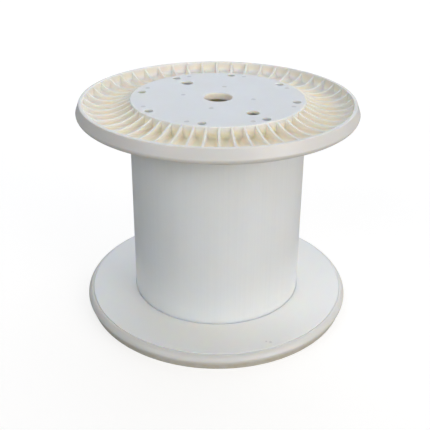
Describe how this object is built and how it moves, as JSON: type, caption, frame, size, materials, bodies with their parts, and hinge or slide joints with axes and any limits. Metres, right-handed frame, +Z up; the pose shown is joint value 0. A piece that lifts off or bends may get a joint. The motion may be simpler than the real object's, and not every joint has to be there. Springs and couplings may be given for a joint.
{
  "type": "plastic spool",
  "caption": "Plastic wire and cable spool: plain tube barrel between ribbed round flanges, with a shaft bore, drive holes and bolt holes, standing on end.",
  "frame": {"origin": "centre of the lower flange's outer face, on the floor", "axes": "+Z up along the spool's axis, +X through a drive hole"},
  "size_m": [0.4999, 0.5, 0.4],
  "materials": {
    "flange_plastic": "satin moulded ABS, natural off-white",
    "barrel_plastic": "satin extruded ABS, natural off-white"
  },
  "bodies": {
    "root": {"lower_flange": "flange_plastic", "barrel": "barrel_plastic", "upper_flange": "flange_plastic"}
  },
  "joints": []
}
